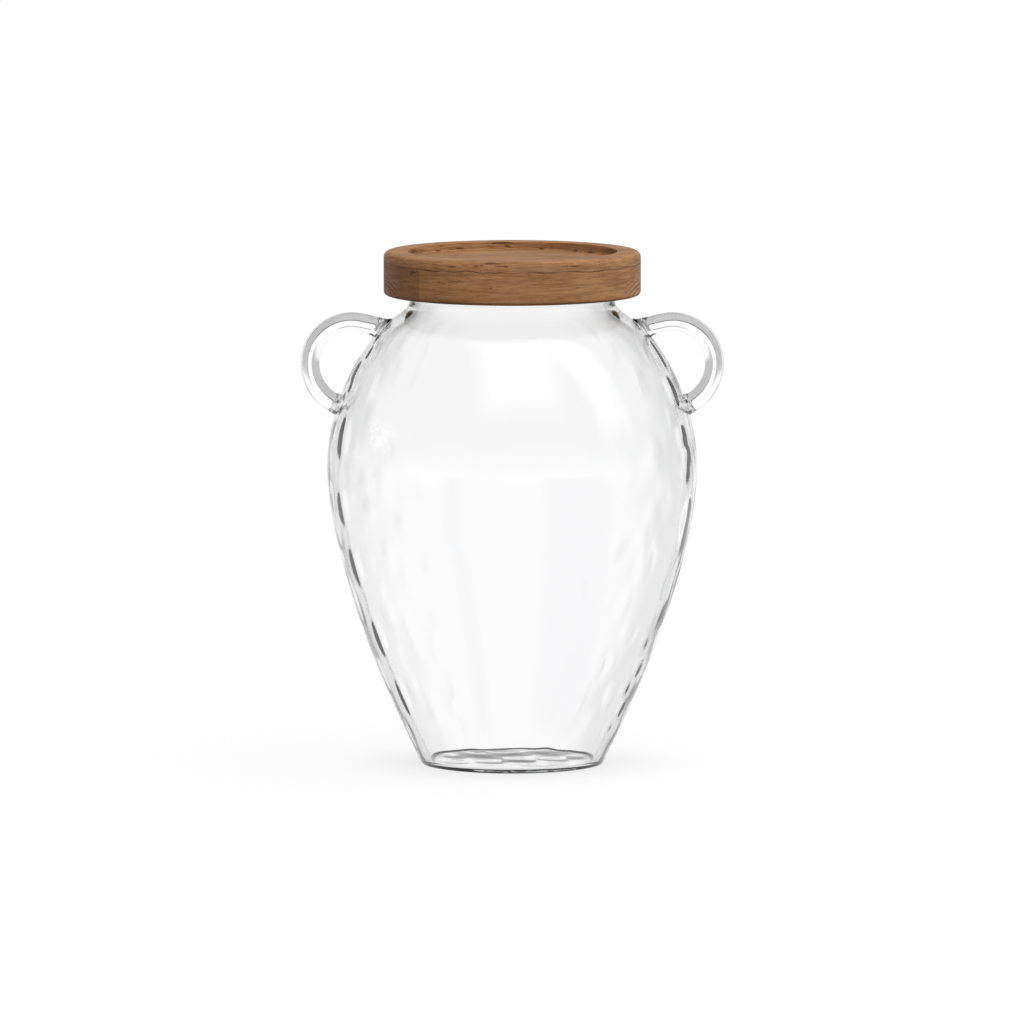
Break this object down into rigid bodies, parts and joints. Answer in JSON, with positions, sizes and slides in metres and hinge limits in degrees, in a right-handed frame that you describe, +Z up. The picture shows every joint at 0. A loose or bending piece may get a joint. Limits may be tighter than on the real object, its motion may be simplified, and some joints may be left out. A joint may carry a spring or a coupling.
{
  "type": "lidded glass jar",
  "caption": "Clear glass amphora-shaped storage jar with rippled walls, glass loop handles on the shoulders and a turned wooden lid with a dished top and a silicone seal.",
  "frame": {"origin": "middle of the base, on the surface that the jar stands on", "axes": "+Z up, the handles lie along X, the front of the jar faces -Y"},
  "size_m": [0.2114, 0.1852, 0.2573],
  "materials": {
    "glass": "clear, fire-polished, softly rippled",
    "wood": "oiled brown hardwood, satin",
    "silicone": "milky white silicone, matt"
  },
  "bodies": {
    "jar": {"glass_body": "glass", "left_handle": "glass", "right_handle": "glass"},
    "seal": {"seal_ring": "silicone"},
    "lid": {"wooden_lid": "wood", "lid_plug": "wood"}
  },
  "joints": [
    {"name": "lid_lift", "type": "slide", "parent": "jar", "child": "seal", "axis": [0, 0, 1], "range_m": [0, 0.1]},
    {"name": "lid_turn", "type": "hinge", "parent": "seal", "child": "lid", "pos_m": [0, 0, 0.246], "axis": [0, 0, 1], "continuous": true}
  ]
}
